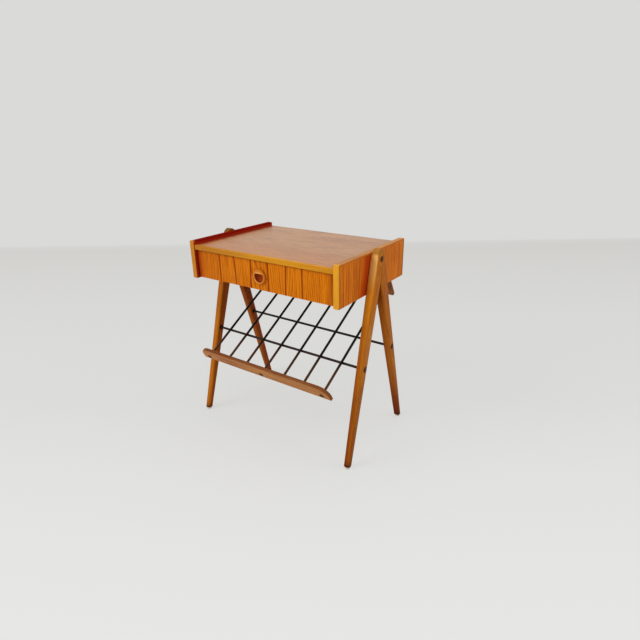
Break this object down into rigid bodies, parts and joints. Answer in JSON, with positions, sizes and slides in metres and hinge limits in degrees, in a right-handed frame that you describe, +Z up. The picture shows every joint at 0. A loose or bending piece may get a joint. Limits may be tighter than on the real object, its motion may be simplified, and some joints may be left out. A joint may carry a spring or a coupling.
{
  "type": "nightstand",
  "caption": "Bedside table with a drawer, a sloping wire magazine rack below it and A-shaped leg frames at both ends.",
  "frame": {"origin": "on the floor, under the middle of the table's outline", "axes": "+X to the right seen from the front, -Y to the front, where the drawer opens, and +Z up"},
  "size_m": [0.5104, 0.3384, 0.5259],
  "materials": {
    "teak_veneer_case": "oiled veneer",
    "teak_veneer_top": "oiled veneer, faded",
    "teak_lipping": "oiled",
    "birch_ply_back": "stained plywood",
    "beech_inside": "planed",
    "birch_ply_bottom": "plywood",
    "teak_solid_legs": "oiled",
    "teak_solid_rails": "oiled",
    "teak_drawer_front": "oiled veneer in strips",
    "teak_knob": "turned and oiled",
    "black_wire": "black enamel",
    "steel_screws": "burnished dark",
    "nylon_glides": "moulded"
  },
  "bodies": {
    "frame": {"side_panel_left": "teak_veneer_case", "side_panel_right": "teak_veneer_case", "side_lipping_front_left": "teak_lipping", "side_lipping_front_right": "teak_lipping", "side_lipping_top_left": "teak_lipping", "side_lipping_top_right": "teak_lipping", "top_panel": "teak_veneer_top", "top_lipping": "teak_lipping", "back_panel": "birch_ply_back", "case_dowels": "beech_inside", "drawer_runner_left": "beech_inside", "drawer_runner_right": "beech_inside", "runner_screws": "steel_screws", "leg_front_left": "teak_solid_legs", "leg_rear_left": "teak_solid_legs", "leg_front_right": "teak_solid_legs", "leg_rear_right": "teak_solid_legs", "leg_dowels": "beech_inside", "apex_screws": "steel_screws", "leg_screws": "steel_screws", "leg_glides": "nylon_glides", "rod_front": "black_wire", "rod_rear": "black_wire", "rod_screws": "steel_screws", "rack_wire_1": "black_wire", "rack_wire_2": "black_wire", "rack_wire_3": "black_wire", "rack_wire_4": "black_wire", "rack_wire_5": "black_wire", "rack_wire_6": "black_wire", "rack_wire_7": "black_wire", "rack_rail_front": "teak_solid_rails", "rack_rail_rear": "teak_solid_rails", "rail_screws": "steel_screws", "rail_dowels": "beech_inside"},
    "drawer": {"drawer_front": "teak_drawer_front", "drawer_side_left": "beech_inside", "drawer_side_right": "beech_inside", "drawer_back": "beech_inside", "drawer_bottom": "birch_ply_bottom", "drawer_pins": "steel_screws", "drawer_knob": "teak_knob", "knob_screw": "steel_screws"}
  },
  "joints": [
    {"name": "drawer_slide", "type": "slide", "parent": "frame", "child": "drawer", "axis": [0, -1, 0], "range_m": [0, 0.18]}
  ]
}
